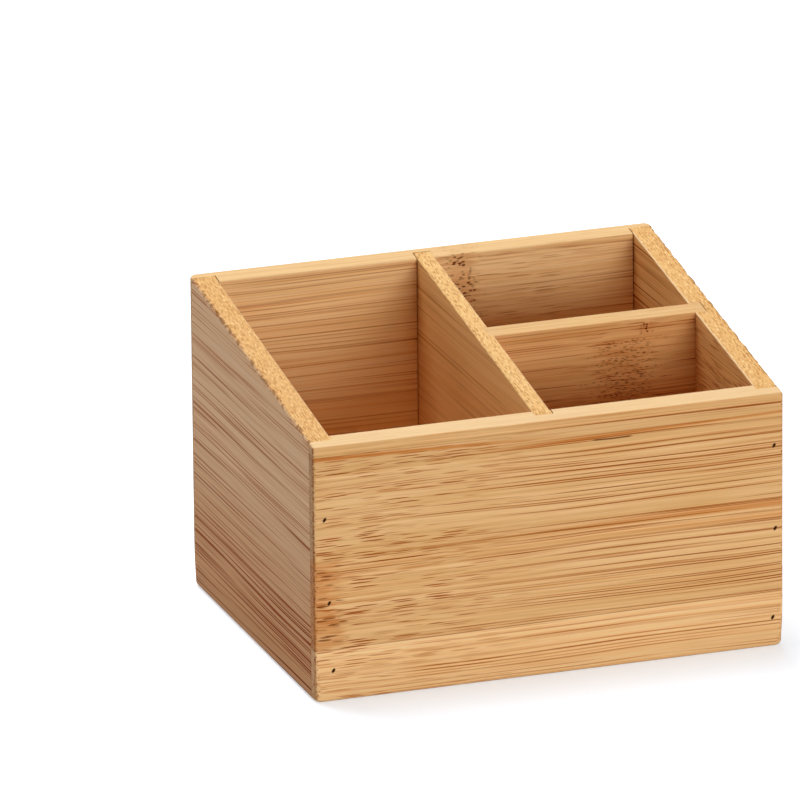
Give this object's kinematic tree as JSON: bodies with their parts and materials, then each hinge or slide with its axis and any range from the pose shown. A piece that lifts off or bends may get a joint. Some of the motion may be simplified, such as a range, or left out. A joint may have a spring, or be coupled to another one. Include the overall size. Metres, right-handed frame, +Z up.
{
  "type": "desk organiser box",
  "caption": "Open-top bamboo desk organiser with a rim that slopes down to the front, one full-depth compartment and two smaller ones, for pens and desk items.",
  "frame": {"origin": "centre of the footprint, on the surface the box stands on", "axes": "+X to the right along the low front panel, +Y from the front to the tall back, +Z up"},
  "size_m": [0.15, 0.118, 0.0998],
  "materials": {
    "bamboo_panel": "satin lacquer over planed bamboo, straight streaky grain",
    "bamboo_divider": "satin lacquer over planed bamboo, straight streaky grain",
    "bamboo_base": "satin lacquer over thin bamboo board",
    "brad_steel": "dull grey wire, sunk below the surface"
  },
  "bodies": {
    "root": {"front_panel": "bamboo_panel", "back_panel": "bamboo_panel", "left_side_panel": "bamboo_panel", "right_side_panel": "bamboo_panel", "long_divider": "bamboo_divider", "cross_divider": "bamboo_divider", "base_panel": "bamboo_base", "brad_front_left_upper": "brad_steel", "brad_front_left_middle": "brad_steel", "brad_front_left_lower": "brad_steel", "brad_front_right_upper": "brad_steel", "brad_front_right_middle": "brad_steel", "brad_front_right_lower": "brad_steel", "brad_back_left_upper": "brad_steel", "brad_back_left_middle": "brad_steel", "brad_back_left_lower": "brad_steel", "brad_back_right_upper": "brad_steel", "brad_back_right_middle": "brad_steel", "brad_back_right_lower": "brad_steel"}
  },
  "joints": []
}
